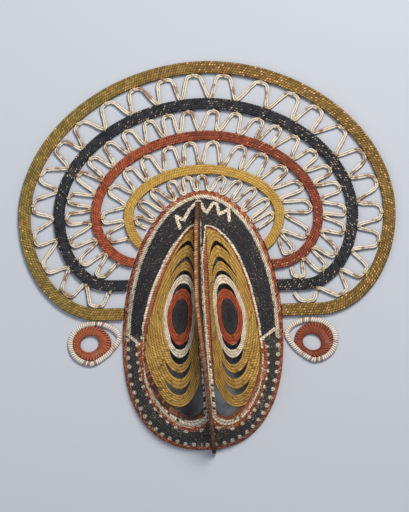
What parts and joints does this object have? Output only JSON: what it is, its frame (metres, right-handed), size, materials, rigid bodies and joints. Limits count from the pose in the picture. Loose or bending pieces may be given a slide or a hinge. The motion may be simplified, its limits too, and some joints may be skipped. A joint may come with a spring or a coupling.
{
  "type": "basketry yam mask",
  "caption": "Coiled basketry mask that lies on its back: a domed face with a tall nose fin and slit eye panels in an openwork crest of laced horseshoe bands, with an ear loop at each cheek",
  "frame": {"origin": "Under the middle of the mask's outer box, on the plane that it lies on.", "axes": "+Z comes out of the face, up from the surface that the mask lies on. +Y runs from the chin to the top of the crest. +X runs across the face, to the right of someone who looks at it."},
  "size_m": [0.4548, 0.473, 0.1033],
  "materials": {
    "border_coils": "matte earth paint, black with red, white dots and worn specks, over coiled cane",
    "nose_coils": "matte earth paint in lines of orange brown, black and white",
    "panel_coils": "matte ochre paint on coiled cane, with white, red and black eye rings",
    "olive_coils": "matte olive and golden ochre paint on coiled cane",
    "black_coils": "matte black paint with worn tan specks, on coiled cane",
    "red_coils": "matte red ochre paint on coiled cane",
    "golden_coils": "matte golden ochre paint on coiled cane",
    "split_cane": "bare split cane, with traces of white paint and brown dirt",
    "white_rope": "matte white paint on wrapped cane",
    "red_disc": "matte red ochre paint on coiled cane"
  },
  "bodies": {
    "root": {"face_border": "border_coils", "nose_ridge": "nose_coils", "eye_panel_left": "panel_coils", "eye_panel_right": "panel_coils", "crest_band_outer": "olive_coils", "crest_band_black": "black_coils", "crest_band_red": "red_coils", "crest_band_inner": "golden_coils", "lacing_outer": "split_cane", "lacing_middle": "split_cane", "lacing_inner": "split_cane", "lacing_face": "split_cane", "ear_ring_left": "white_rope", "ear_ring_right": "white_rope", "ear_disc_left": "red_disc", "ear_disc_right": "red_disc"}
  },
  "joints": []
}
